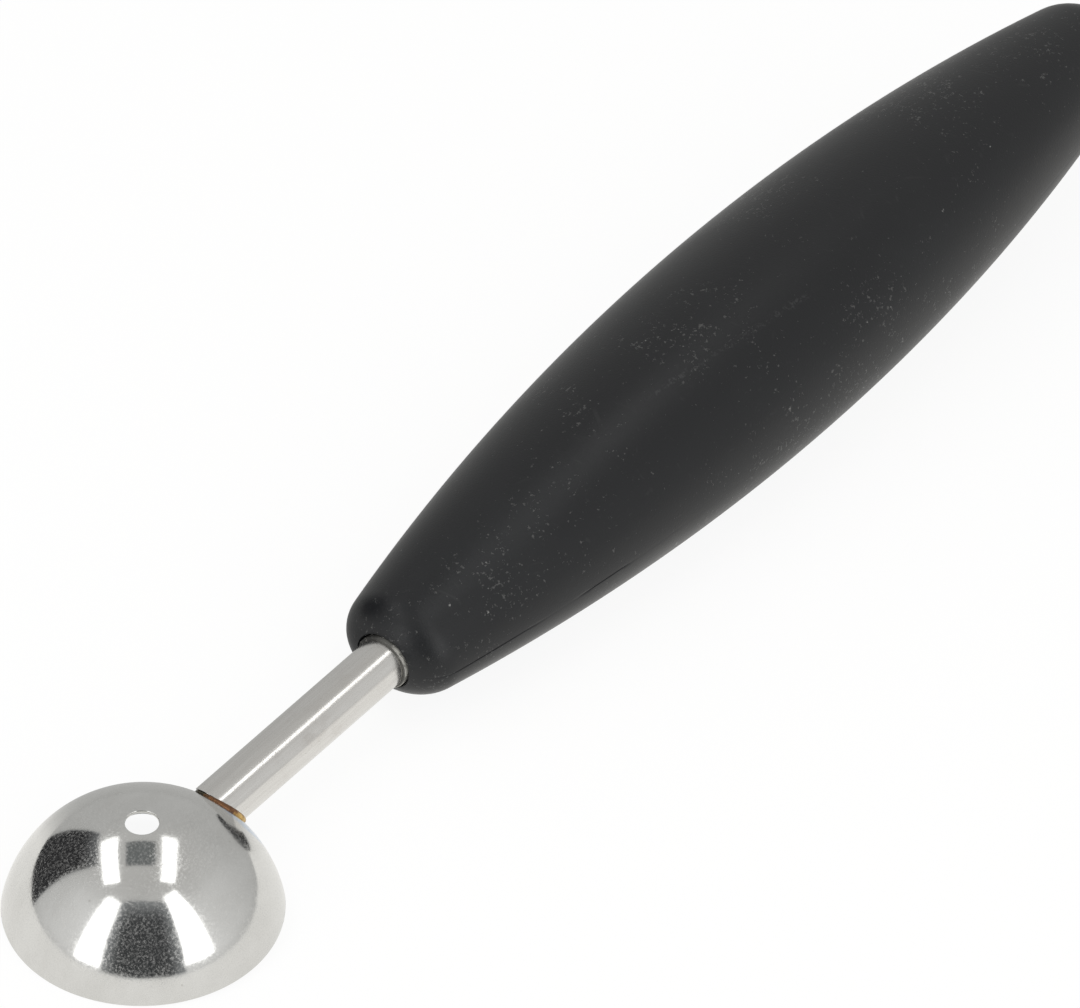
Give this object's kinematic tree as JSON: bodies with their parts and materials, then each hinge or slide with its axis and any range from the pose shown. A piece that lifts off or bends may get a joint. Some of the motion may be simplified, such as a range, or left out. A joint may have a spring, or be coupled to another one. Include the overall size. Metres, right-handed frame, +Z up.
{
  "type": "melon baller",
  "caption": "Kitchen scoop with a polished steel cup, a short tube stem and a soft oval barrel grip.",
  "frame": {"origin": "on the table, under the middle of the tool's bounding box, with the cup's front lip and the grip's belly touching the table", "axes": "+X from the cup to the tail of the grip, +Z up from the table with the cup face down, +Y across the tool"},
  "size_m": [0.195, 0.03, 0.0235],
  "materials": {
    "polished_steel": "mirror-polished stainless steel with fine wiping marks",
    "satin_steel": "satin stainless steel, grained along the tube",
    "weld_metal": "brown and straw heat-tinted weld",
    "core_plastic": "moulded grey-black rigid plastic",
    "grip_rubber": "matt black soft-touch rubber with specks of dust"
  },
  "bodies": {
    "root": {"scoop_bowl": "polished_steel", "stem_tube": "satin_steel", "weld_bead": "weld_metal", "handle_core": "core_plastic", "rubber_grip": "grip_rubber"}
  },
  "joints": []
}
